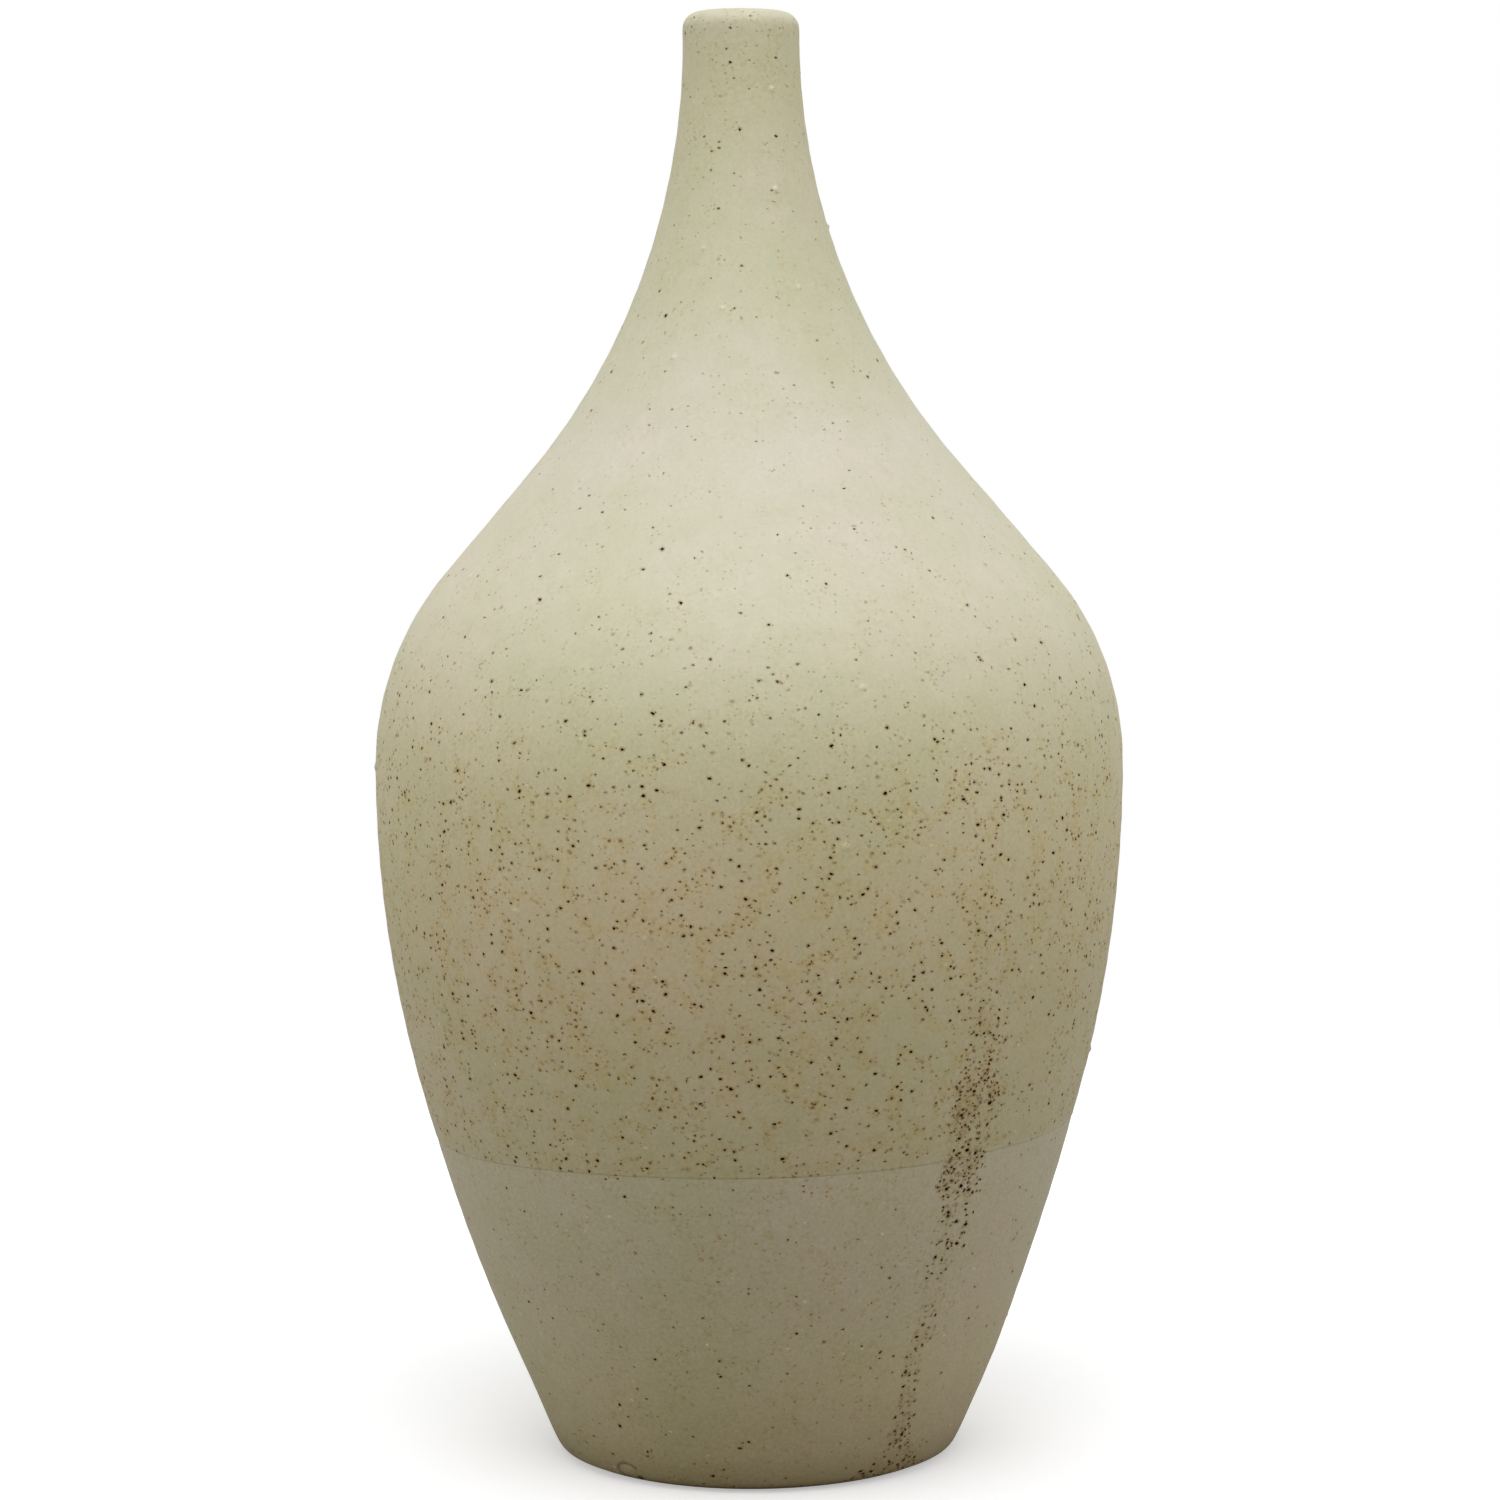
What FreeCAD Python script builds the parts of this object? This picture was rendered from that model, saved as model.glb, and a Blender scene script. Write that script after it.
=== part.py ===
"""Stoneware bottle vase: a thrown clay body with a poured liner glaze and two dipped outer coats.

The frame has +Z up and its origin at the centre of the foot, on the table. Sizes are in millimetres.
Each piece is turned from a half-section made of chains of arcs and lines, each tangent to the next.
The two faces of a glaze coat share the arc centres of the clay under them, so a coat lies on the
clay with one thickness and no gap. Only the lower edge of the upper coat is not turned: the vase was
dipped mouth down at a slight angle, so that edge is a tilted plane.
"""
import FreeCAD, Part
import collections
import math
import os

import Sketcher

# Driving dimensions: alias, value, and what it measures, on the fired clay unless a coat is named.
SIZES = [
    ("clay_height", 304.3, "foot to lip crest"),
    ("lip_outer_round", 2.9, "rounding outside the lip crest"),
    ("lip_inner_round", 1.5, "rounding inside the lip crest"),
    ("neck_radius", 11.5, "outside of the neck at the top"),
    ("flare_top", 299.5, "height where the neck starts to widen"),
    ("flare_radius", 138.5, "hollow curve of the neck"),
    ("shoulder_radius", 61.1, "round curve of the shoulder"),
    ("belly_radius", 78.4, "widest part, measured from the axis"),
    ("belly_height", 147.5, "height of the widest part"),
    ("belly_curve", 271.3, "profile curve just under the widest part"),
    ("belly_sweep", 15.7, "degrees that curve turns through"),
    ("lower_curve", 543.0, "profile curve of the lower wall"),
    ("foot_round", 5.2, "rounding from the lower wall to the foot"),
    ("recess_radius", 29.5, "turned recess inside the foot ring"),
    ("recess_lean", 1.5, "how far the recess wall leans in"),
    ("recess_depth", 2.5, "depth of the turned recess"),
    ("wall", 5.0, "wall thickness from the shoulder down"),
    ("bore_depth", 20.0, "lip crest to the end of the straight bore"),
    ("cavity_flare", 100.0, "hollow curve inside the neck"),
    ("floor_top", 10.0, "height of the inside floor"),
    ("floor_round", 14.0, "rounding from the inside floor to the wall"),
    ("liner_coat", 0.7, "thickness of the poured liner glaze"),
    ("base_coat", 0.4, "thickness of the first outer coat"),
    ("base_coat_end", 1.2, "height of the first coat's wiped lower edge"),
    ("upper_coat", 0.3, "thickness of the second outer coat"),
    ("glaze_line", 69.5, "height of the second coat's edge, on the axis"),
    ("glaze_line_tilt", 1.9, "degrees that edge rises towards +X"),
]

# Places that several outlines share.
CREST = "Sizes.neck_radius - Sizes.lip_outer_round"
LIP_END = "Sizes.clay_height - Sizes.lip_inner_round"
SHOULDER_CENTRE = "Sizes.belly_radius - Sizes.shoulder_radius"
BORE_RADIUS = f"{CREST} - Sizes.lip_inner_round"
BORE_END = "Sizes.clay_height - Sizes.bore_depth"
EDGE_RISE = "Sizes.belly_radius * tan(Sizes.glaze_line_tilt)"

# What a face adds to the clay under it.
BARE = ""
LINED = " + Sizes.liner_coat"
ONE_COAT = " + Sizes.base_coat"
TWO_COATS = " + Sizes.base_coat + Sizes.upper_coat"

# The sketcher's numbers for the points of a curve, and for its own origin and upright axis.
START, END, CENTRE = 1, 2, 3
ORIGIN = (-1, START)
UPRIGHT = -2

# One arc or line of an outline, travelled from the lip down. first and last are its end points in
# that order. bound holds the expressions that fix it, under the kinds that bind() knows.
Stretch = collections.namedtuple("Stretch", "curve first last bound")

doc = FreeCAD.newDocument("stoneware_vase")
sheet = doc.addObject("Spreadsheet::Sheet", "Sizes")
for row, (alias, amount, note) in enumerate(SIZES, start=1):
    sheet.set(f"A{row}", note)
    sheet.set(f"B{row}", str(amount))
    sheet.setAlias(f"B{row}", alias)
doc.recompute()


def number(expression):
    """What an expression on the sheet comes to."""
    return float(sheet.evalExpression(expression))


def on_circle(centre, radius, degrees):
    """The point of a circle in a direction from its centre."""
    turned = math.radians(degrees)
    return centre[0] + radius * math.cos(turned), centre[1] + radius * math.sin(turned)


# ---- Outlines ----

def arc(centre, radius, first, last, **bound):
    """An arc travelled from the angle first to the angle last, in degrees. radius is an expression."""
    middle = FreeCAD.Vector(centre[0], centre[1], 0)
    circle = Part.Circle(middle, FreeCAD.Vector(0, 0, 1), number(radius))
    curve = Part.ArcOfCircle(circle, math.radians(min(first, last)), math.radians(max(first, last)))
    ends = (END, START) if first > last else (START, END)
    return Stretch(curve, *ends, dict(bound, radius=radius))


def line(first, last, **bound):
    """A straight stretch."""
    ends = [FreeCAD.Vector(point[0], point[1], 0) for point in (first, last)]
    return Stretch(Part.LineSegment(*ends), START, END, bound)


def slope_direction(hollow_centre, hollow_radius, round_centre, round_radius):
    """The normal, in degrees, of the line that touches a hollow curve and the round curve below it."""
    across = hollow_centre[0] - round_centre[0]
    up = hollow_centre[1] - round_centre[1]
    lean = math.acos((hollow_radius + round_radius) / math.hypot(across, up))
    return math.degrees(math.atan2(up, across) - lean)


def neck_to_belly(neck, hollow_centre, hollow_radius, shoulder_radius, **hollow_bound):
    """Straight neck from a given place, hollow curve, slope and shoulder down to the widest part."""
    shoulder_centre = (number(SHOULDER_CENTRE), number("Sizes.belly_height"))
    hollow, shoulder = number(hollow_radius), number(shoulder_radius)
    slope = slope_direction(hollow_centre, hollow, shoulder_centre, shoulder)
    slope_start = on_circle(hollow_centre, hollow, 180 + slope)
    slope_end = on_circle(shoulder_centre, shoulder, slope)
    return [
        line(neck, on_circle(hollow_centre, hollow, 180), direction="Vertical"),
        arc(hollow_centre, hollow_radius, 180, 180 + slope, **hollow_bound),
        line(slope_start, slope_end),
        arc(shoulder_centre, shoulder_radius, slope, 0,
            centre_r=SHOULDER_CENTRE, centre_z="Sizes.belly_height", last_z="Sizes.belly_height"),
    ]


def belly_to_corner(shift, corner_radius, corner_height):
    """Belly curve, lower wall and bottom corner. shift is what a face adds to the two wall curves."""
    belly_centre = (number("Sizes.belly_radius - Sizes.belly_curve"), number("Sizes.belly_height"))
    sweep = number("Sizes.belly_sweep")
    wall_centre = on_circle(belly_centre, number("Sizes.belly_curve - Sizes.lower_curve"), -sweep)
    reach = number(f"Sizes.lower_curve{shift} - ({corner_radius})")
    turned = math.degrees(math.asin((number(corner_height) - wall_centre[1]) / reach))
    corner_centre = on_circle(wall_centre, reach, turned)
    return [
        arc(belly_centre, f"Sizes.belly_curve{shift}", 0, -sweep, sweep="Sizes.belly_sweep"),
        arc(wall_centre, f"Sizes.lower_curve{shift}", -sweep, turned),
        arc(corner_centre, corner_radius, turned, -90, centre_z=corner_height),
    ]


def outside_outline(coats):
    """The outside face with its coats, from the inner end of the lip to the underside of the foot."""
    less = coats.replace("+", "-")
    inner_lip = (number(CREST), number(LIP_END))
    outer_lip = (number(CREST), number("Sizes.clay_height - Sizes.lip_outer_round"))
    outer_radius = f"Sizes.lip_outer_round{coats}"
    neck = on_circle(outer_lip, number(outer_radius), 0)
    hollow_centre = (number("Sizes.neck_radius + Sizes.flare_radius"), number("Sizes.flare_top"))
    return [
        arc(inner_lip, f"Sizes.lip_inner_round{coats}", 180, 90, centre_r=CREST, centre_z=LIP_END),
        arc(outer_lip, outer_radius, 90, 0, centre_r=CREST),
        *neck_to_belly(neck, hollow_centre, f"Sizes.flare_radius{less}",
                       f"Sizes.shoulder_radius{coats}", centre_z="Sizes.flare_top"),
        *belly_to_corner(coats, f"Sizes.foot_round{coats}", "Sizes.foot_round"),
    ]


def cavity_outline(coat, **sideways):
    """The inside face with its coat, from the inner end of the lip to the middle of the floor."""
    less = coat.replace("+", "-")
    neck = (number(f"{BORE_RADIUS}{less}"), number(LIP_END))
    hollow_centre = (number(f"{BORE_RADIUS} + Sizes.cavity_flare"), number(BORE_END))
    outline = [
        *neck_to_belly(neck, hollow_centre, f"Sizes.cavity_flare{coat}",
                       f"Sizes.shoulder_radius - Sizes.wall{less}", centre_z=BORE_END, **sideways),
        *belly_to_corner(f" - Sizes.wall{less}", f"Sizes.floor_round{less}",
                         "Sizes.floor_top + Sizes.floor_round"),
    ]
    floor_edge = outline[-1].curve.StartPoint
    floor = line((floor_edge.x, floor_edge.y), (0, floor_edge.y), direction="Horizontal")
    return [*outline, floor]


def cut_level(outline, height):
    """An outline whose last arc is cut off level at a height."""
    *kept, last = outline
    circle = last.curve.Circle
    turned = math.asin((number(height) - circle.Center.y) / circle.Radius)
    return [*kept, last._replace(curve=Part.ArcOfCircle(circle, turned, last.curve.LastParameter))]


# ---- Sketches ----

def upright_sketch(body, name):
    """An empty sketch on the body's XZ plane, where its second coordinate is the height."""
    sketch = body.newObject("Sketcher::SketchObject", name)
    plane = next(feature for feature in body.Origin.OriginFeatures if feature.Role == "XZ_Plane")
    sketch.AttachmentSupport = [(plane, "")]
    sketch.MapMode = "FlatFace"
    return sketch


def bind(sketch, kind, curve, point, expression):
    """Fixes one size of a curve to an expression on the sheet, or gives a line its direction."""
    if kind == "direction":
        sketch.addConstraint(Sketcher.Constraint(expression, curve))
        return
    amount = number(expression)
    constraint = {
        "radius": ("Radius", curve, amount),
        "sweep": ("Angle", curve, math.radians(amount)),
        "centre_r": ("DistanceX", *ORIGIN, curve, CENTRE, amount),
        "centre_z": ("DistanceY", *ORIGIN, curve, CENTRE, amount),
        "last_r": ("DistanceX", *ORIGIN, curve, point, amount),
        "last_z": ("DistanceY", *ORIGIN, curve, point, amount),
        "width": ("DistanceX", curve, START, curve, END, amount),
    }[kind]
    index = sketch.addConstraint(Sketcher.Constraint(*constraint))
    sketch.setExpression(f"Constraints[{index}]", expression)


def draw(sketch, outline):
    """Adds an outline whose stretches run smoothly into each other. Returns its two ends."""
    curves = [sketch.addGeometry(stretch.curve, False) for stretch in outline]
    ends_above = [(curve, stretch.last) for curve, stretch in zip(curves, outline)]
    ends_below = [(curve, stretch.first) for curve, stretch in zip(curves, outline)]
    for above, below in zip(ends_above[:-1], ends_below[1:]):
        sketch.addConstraint(Sketcher.Constraint("Tangent", *above, *below))
    for curve, stretch in zip(curves, outline):
        for kind, expression in stretch.bound.items():
            bind(sketch, kind, curve, stretch.last, expression)
    return ends_below[0], ends_above[-1]


def join(sketch, one, other):
    """Adds a straight line between two ends. Returns its curve number."""
    places = [sketch.getPoint(*end) for end in (one, other)]
    curve = sketch.addGeometry(Part.LineSegment(*places), False)
    sketch.addConstraint(Sketcher.Constraint("Coincident", curve, START, *one))
    sketch.addConstraint(Sketcher.Constraint("Coincident", curve, END, *other))
    return curve


def join_level(sketch, one, other, height):
    """Joins two ends with a level line at a height."""
    curve = join(sketch, one, other)
    bind(sketch, "direction", curve, END, "Horizontal")
    bind(sketch, "last_z", curve, END, height)


def put_on_axis(sketch, end):
    """Keeps an end on the turning axis."""
    sketch.addConstraint(Sketcher.Constraint("PointOnObject", *end, UPRIGHT))


def draw_polygon(sketch, corners):
    """Adds straight sides from corner to corner, closed. Returns their curve numbers."""
    pairs = list(zip(corners, corners[1:] + corners[:1]))
    sides = [sketch.addGeometry(line(*pair).curve, False) for pair in pairs]
    for side, after in zip(sides, sides[1:] + sides[:1]):
        sketch.addConstraint(Sketcher.Constraint("Coincident", side, END, after, START))
    return sides


def turn(body, sketch, kind):
    """Turns a sketch full circle about its upright axis, as a Revolution or a Groove."""
    feature = body.newObject(kind, f"turned_{sketch.Name}")
    feature.Profile = sketch
    feature.ReferenceAxis = (sketch, ["V_Axis"])
    feature.Angle = 360


def require_less(body, volume_before, cut_name):
    """Stops the build if a cut took nothing off a body."""
    doc.recompute()
    if body.Shape.Volume >= volume_before:
        raise RuntimeError(f"{cut_name} cut nothing off {body.Label}")


# ---- The pieces ----

def make_body(name):
    """An empty body whose label names its file."""
    body = doc.addObject("PartDesign::Body", name)
    body.Label = name
    body.Placement = FreeCAD.Placement()
    return body


def cut_foot_recess(body):
    """The shallow recess turned into the underside, which leaves the vase a foot ring to stand on."""
    recess = upright_sketch(body, "recess")
    radius, lean, depth = (number(f"Sizes.recess_{part}") for part in ("radius", "lean", "depth"))
    ground, side, top, axis = draw_polygon(
        recess, [(0, 0), (radius, 0), (radius - lean, depth), (0, depth)])
    recess.addConstraint(Sketcher.Constraint("Coincident", ground, START, *ORIGIN))
    bind(recess, "direction", ground, END, "Horizontal")
    bind(recess, "direction", top, END, "Horizontal")
    bind(recess, "direction", axis, END, "Vertical")
    bind(recess, "last_r", ground, END, "Sizes.recess_radius")
    bind(recess, "last_r", side, END, "Sizes.recess_radius - Sizes.recess_lean")
    bind(recess, "last_z", side, END, "Sizes.recess_depth")
    turn(body, recess, "PartDesign::Groove")


def make_clay():
    """The thrown clay: one wall from lip to floor, and the foot."""
    body = make_body("stoneware_body")
    section = upright_sketch(body, "clay")
    lip, foot = draw(section, outside_outline(BARE))
    bore, floor = draw(section, cavity_outline(BARE))
    section.addConstraint(Sketcher.Constraint("Tangent", *lip, *bore))
    put_on_axis(section, floor)
    foot_edge = section.getPoint(*foot)
    ground = section.addGeometry(line((foot_edge.x, foot_edge.y), (0, 0)).curve, False)
    section.addConstraint(Sketcher.Constraint("Tangent", *foot, ground, START))
    section.addConstraint(Sketcher.Constraint("Coincident", ground, END, *ORIGIN))
    join(section, (ground, END), floor)
    turn(body, section, "PartDesign::Revolution")
    doc.recompute()
    volume = body.Shape.Volume
    cut_foot_recess(body)
    require_less(body, volume, "the foot recess")
    return body


def make_liner():
    """The glaze poured into the vase: it covers the floor and the wall up to the inner end of the lip."""
    body = make_body("liner_glaze")
    section = upright_sketch(body, "liner")
    sideways = {"centre_r": f"{BORE_RADIUS} + Sizes.cavity_flare"}
    wall_top, wall_floor = draw(section, cavity_outline(BARE, **sideways))
    glaze_top, glaze_floor = draw(section, cavity_outline(LINED, **sideways))
    put_on_axis(section, wall_floor)
    put_on_axis(section, glaze_floor)
    join(section, wall_floor, glaze_floor)
    join_level(section, wall_top, glaze_top, LIP_END)
    turn(body, section, "PartDesign::Revolution")
    return body


def make_coat(name, under, over, edge):
    """A glaze coat between two outside outlines, from the inner end of the lip to a level edge."""
    body = make_body(name)
    section = upright_sketch(body, f"{name}_section")
    under_top, under_edge = draw(section, cut_level(under, edge))
    over_top, over_edge = draw(section, cut_level(over, edge))
    join_level(section, under_top, over_top, LIP_END)
    join_level(section, under_edge, over_edge, edge)
    turn(body, section, "PartDesign::Revolution")
    doc.recompute()
    return body


def make_base_coat():
    """The first outer coat: over the lip and down to its wiped edge on the foot rounding."""
    return make_coat("base_glaze", outside_outline(BARE), outside_outline(ONE_COAT),
                     "Sizes.base_coat_end")


def make_upper_coat():
    """The second outer coat: over the lip and down to the glaze line on the lower wall."""
    lowest = f"Sizes.glaze_line - {EDGE_RISE}"
    highest = f"Sizes.glaze_line + {EDGE_RISE}"
    under, over = (outside_outline(coats)[:-1] for coats in (ONE_COAT, TWO_COATS))
    body = make_coat("upper_glaze", under, over, lowest)
    volume = body.Shape.Volume
    wedge = upright_sketch(body, "below_glaze_line")
    reach = number("Sizes.belly_radius")
    level, upright, slant = draw_polygon(
        wedge, [(-reach, number(lowest)), (reach, number(lowest)), (reach, number(highest))])
    bind(wedge, "direction", level, END, "Horizontal")
    bind(wedge, "direction", upright, END, "Vertical")
    bind(wedge, "width", level, END, "2 * Sizes.belly_radius")
    bind(wedge, "last_r", level, END, "Sizes.belly_radius")
    bind(wedge, "last_z", level, END, lowest)
    bind(wedge, "last_z", upright, END, highest)
    cut = body.newObject("PartDesign::Pocket", "tilted_edge")
    cut.Profile = wedge
    cut.SideType = "Symmetric"
    cut.Type = "ThroughAll"
    require_less(body, volume, "the tilted edge")
    return body


def check(bodies):
    """Stops the build if any object of the document failed or any piece is not a valid solid."""
    failed = [item.Name for item in doc.Objects if {"Invalid", "Error"} & set(item.State)]
    if failed:
        raise RuntimeError(f"these objects did not compute: {failed}")
    for body in bodies:
        shape = body.Shape
        if shape.isNull() or not shape.isValid() or len(shape.Solids) != 1:
            raise RuntimeError(f"{body.Label} is not one valid solid")


pieces = [make_clay(), make_liner(), make_base_coat(), make_upper_coat()]
doc.recompute()
check(pieces)
os.makedirs("parts", exist_ok=True)
for piece in pieces:
    piece.Shape.exportStep(f"parts/{piece.Label}.step")
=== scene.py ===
"""A thrown stoneware bottle vase under two dipped coats of speckled matte glaze.

The CAD frame gives every outline. This script turns the four pieces again at a finer grain, moves
them as a potter's hands would have, and gives each one its fired surface. Lengths are in metres
unless a name ends in _mm. Angles round the vase are in radians from +X, anticlockwise from above.
"""

import math
from collections import namedtuple

import bmesh
import bpy
import numpy as np
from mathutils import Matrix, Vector
from mathutils.kdtree import KDTree


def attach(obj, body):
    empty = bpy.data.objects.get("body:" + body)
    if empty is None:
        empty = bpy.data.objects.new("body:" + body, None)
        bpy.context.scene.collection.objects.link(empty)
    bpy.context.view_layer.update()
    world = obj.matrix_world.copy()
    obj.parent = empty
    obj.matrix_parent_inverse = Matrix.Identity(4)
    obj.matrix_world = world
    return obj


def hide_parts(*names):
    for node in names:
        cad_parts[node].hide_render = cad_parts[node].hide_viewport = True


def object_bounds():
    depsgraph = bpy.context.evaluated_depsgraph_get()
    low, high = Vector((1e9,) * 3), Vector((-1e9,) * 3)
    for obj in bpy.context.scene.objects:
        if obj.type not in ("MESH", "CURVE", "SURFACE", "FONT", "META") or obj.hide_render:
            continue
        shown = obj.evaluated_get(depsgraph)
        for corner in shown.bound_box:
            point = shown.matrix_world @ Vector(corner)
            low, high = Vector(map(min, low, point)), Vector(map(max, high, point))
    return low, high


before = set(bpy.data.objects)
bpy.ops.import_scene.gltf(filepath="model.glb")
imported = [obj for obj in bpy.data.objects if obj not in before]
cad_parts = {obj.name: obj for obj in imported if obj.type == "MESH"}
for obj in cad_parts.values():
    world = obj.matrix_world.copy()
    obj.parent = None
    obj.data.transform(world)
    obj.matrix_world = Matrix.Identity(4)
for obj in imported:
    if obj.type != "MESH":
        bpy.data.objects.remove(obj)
cad_low, cad_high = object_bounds()

MM = 0.001
HEIGHT = cad_high.z - cad_low.z
BELLY_RADIUS = cad_high.x

# How finely the pieces are turned. A hidden piece has coarser rows.
SEGMENTS = 224
ROW_STEP = 2.2 * MM
HIDDEN_ROW_STEP = 3.6 * MM
HIDDEN_SEGMENTS = 160
CORNER_STEP = 0.12 * MM
STEP_GROWTH = 0.3
CUTS_PER_CAD_SPAN = 2
CORNER_TURN = math.radians(20)
SOFTENING_PASSES = 6
POLE_RADIUS = 0.2 * MM

# How a hand-thrown pot strays from the true turned shape.
AXIS_DRIFT = (  # share of the height, sideways shift of the axis
    (0.00, 1.6 * MM),
    (0.05, 1.5 * MM),
    (0.12, 0.85 * MM),
    (0.25, 0.25 * MM),
    (0.48, -0.15 * MM),
    (0.60, 0.0 * MM),
    (0.67, -0.15 * MM),
    (0.75, -0.8 * MM),
    (0.85, -1.45 * MM),
    (1.00, -1.95 * MM),
)
DEPTH_DRIFT_SHARE = 0.4
OVAL = 0.002
FOOT_OVAL = 0.75 * MM
FOOT_LONG_WAY = math.radians(45)
LOWER_SWELL = 0.27 * MM
RING_PITCH = 7.5 * MM
RING_DEPTH = 0.04 * MM
RING_WANDER_PITCH = 90 * MM
DENT_DEPTH = 0.07 * MM
DENT_PITCH = 70 * MM
WAVES_ROUND = (1, 6)

# Where those marks set in or die out: above the foot, below the lip, round the glaze line and off
# the axis.
MARKS_ABOVE_FOOT = (6 * MM, 25 * MM)
MARKS_BELOW_LIP = (4 * MM, 20 * MM)
SWELL_BELOW_LINE = 8 * MM
SWELL_ABOVE_LINE = 12 * MM
FOOT_OVAL_HEIGHTS = (2 * MM, 25 * MM)
FOOT_OVAL_RADII = (20 * MM, 35 * MM)

# The upper coat's lower edge: a low round front, behind which the coat slowly reaches full thickness.
LINE_LIFT = 1.5 * MM
LINE_WAVE = 0.35 * MM
FRONT_SHARE = 0.3
FRONT_LENGTH = 0.5 * MM
FEATHER_LENGTH = 14 * MM
SINK = 0.03 * MM
SKIN_SAMPLES = 4000
UNDERSIDE_ROW_STEP = 4

# Grit under the glaze, and one blister with a pinhole beside it, close to the foot. A feature has its
# place, how far it reaches, and a function for its rise. The relief cuts are shares of that reach
# inside which the mesh is cut finer, one cut each. Each neck lump: degrees right of the front, share
# of the height, radius.
Feature = namedtuple("Feature", "place reach rise")
RELIEF_CUTS = (1.5, 1.15, 0.9)
BASE_LUMPS = 60
UPPER_LUMPS = 110
LUMP_RADII = (0.55 * MM, 1.1 * MM)
LUMP_STEEPNESS = (0.1, 0.35)
LUMP_SPREAD = 0.6
LUMP_REACH = 1.6
NECK_LUMPS = ((21, 0.945, 0.9 * MM), (19, 0.877, 1.0 * MM), (86, 0.854, 0.85 * MM))
NECK_LUMP_STEEPNESS = 0.45
BLISTER_ANGLE = math.radians(-36.7)
BLISTER_HEIGHT = 2.8 * MM
BLISTER_RISE = 0.15 * MM
BLISTER_RADIUS = 2.6 * MM
BLISTER_REACH = 1.4
BLISTER_SQUASH = 1.45
BLISTER_CROWN = 0.7
BLISTER_GROOVE = 0.25
PINHOLE_ANGLE = math.radians(-33.2)
PINHOLE_HEIGHT = 1.3 * MM
PINHOLE_RADIUS = 1.3 * MM
PINHOLE_DEPTH = 0.4 * MM


def paint(red, green, blue):
    """A colour as a screen shows it, 0 to 255, made linear."""
    return tuple((level / 255) ** 2.2 for level in (red, green, blue)) + (1.0,)


# Glaze tones, and how crowded the iron, rust and dust grains are, by share of the vase's height.
UPPER_TONES_AND_LIP_HIGHLIGHT = (
    (0.22, paint(175, 165, 132)),
    (0.35, paint(184, 173, 138)),
    (0.42, paint(193, 182, 145)),
    (0.50, paint(203, 195, 158)),
    (0.58, paint(212, 207, 178)),
    (0.70, paint(213, 208, 184)),
    (0.82, paint(207, 203, 173)),
    (0.95, paint(204, 198, 165)),
    (0.985, paint(203, 197, 166)),
    # The last stop lightens the lip crest: a painted highlight on its upward-facing top.
    (1.00, paint(212, 207, 182)),
)
BASE_TONES_AND_CONTACT_SHADOW = (
    # The lowest stops paint the bottom two millimetres into a near-black line: a painted contact shadow
    # where the foot meets the floor.
    (0.000, paint(70, 58, 40)),
    (0.002, paint(118, 104, 74)),
    (0.006, paint(154, 141, 106)),
    (0.03, paint(170, 158, 124)),
    (0.08, paint(175, 165, 131)),
    (0.16, paint(176, 166, 138)),
    (0.24, paint(179, 170, 142)),
)
UPPER_IRON = ((0.46, 0.9), (0.52, 0.40), (0.58, 0.08), (0.70, 0.015), (0.88, 0.015), (0.97, 0.04))
UPPER_RUST = ((0.46, 0.10), (0.58, 0.05), (0.70, 0.07), (0.88, 0.14), (0.97, 0.22))
UPPER_DUST = ((0.46, 0.8), (0.52, 0.65), (0.58, 0.5), (0.70, 0.3), (0.88, 0.5), (0.97, 1.0))
BASE_IRON = ((0.0, 0.3), (0.05, 0.12), (0.24, 0.06))
BASE_RUST = ((0.0, 0.10), (0.05, 0.08), (0.24, 0.12))
BASE_DUST = ((0.0, 0.8), (0.05, 0.65), (0.24, 0.95))

# Mottling of the glaze, from wide to fine: the tints where its noise is lowest and highest.
FLASH_TINTS = ((0.93, 0.99, 0.94), (1.07, 1.01, 1.06))
CLOUD_TINTS = ((0.93, 0.965, 0.86), (1.07, 1.035, 1.14))
PATCH_TINTS = ((0.93, 0.95, 0.91), (1.07, 1.05, 1.08))
POWDER_TINTS = ((0.75, 0.74, 0.66), (1.25, 1.26, 1.34))
BLOTCH_EDGE = (0.35, 0.6)

# Tints for single marks. The ranges say where a mark sets in and where it is full.
UNTINTED = (1, 1, 1)
BLUSH_CROWDING = (0.5, 1.8)
BLUSH_TINT = (1.0, 0.97, 0.90)
FLECK_EDGE = (0.5, 0.68)
FLECK_TINT = (0.96, 0.925, 0.83)
STAIN_TINT = (0.90, 0.87, 0.76)
BARE_TINT = (1.01, 0.985, 1.0)
RAISED_FROM_MM = 0.02
RAISED_TO_MM = 0.25
RAISED_TINT = (1.12, 1.12, 1.10)
# Sunken places, the blister's groove and the pinhole, are darkened by their depth: painted shade.
HOLLOW_SHADE_TINT = (0.25, 0.22, 0.16)
EDGE_BAND_MM = (6, 1.5)
EDGE_BAND_TINT = (0.985, 0.99, 0.975)
EDGE_THIN_MM = (1.5, 0.1)
EDGE_THIN_TINT = (1.03, 1.035, 1.12)
EDGE_LINE_MM = (0.8, 0.3)
EDGE_LINE_TINT = (0.95, 0.94, 0.90)
GLAZE_ROUGHNESS = (0.5, 0.68)
GLAZE_SHINE = 0.22
ORANGE_PEEL_MM = 0.05
POWDER_MM = 0.03

# How strong the finest mottling is, by share of the vase's height.
POWDER_STRENGTH = ((0.2, 1.0), (0.3, 0.75), (0.5, 0.7), (0.58, 0.3), (0.85, 0.35), (0.97, 0.5))

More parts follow.
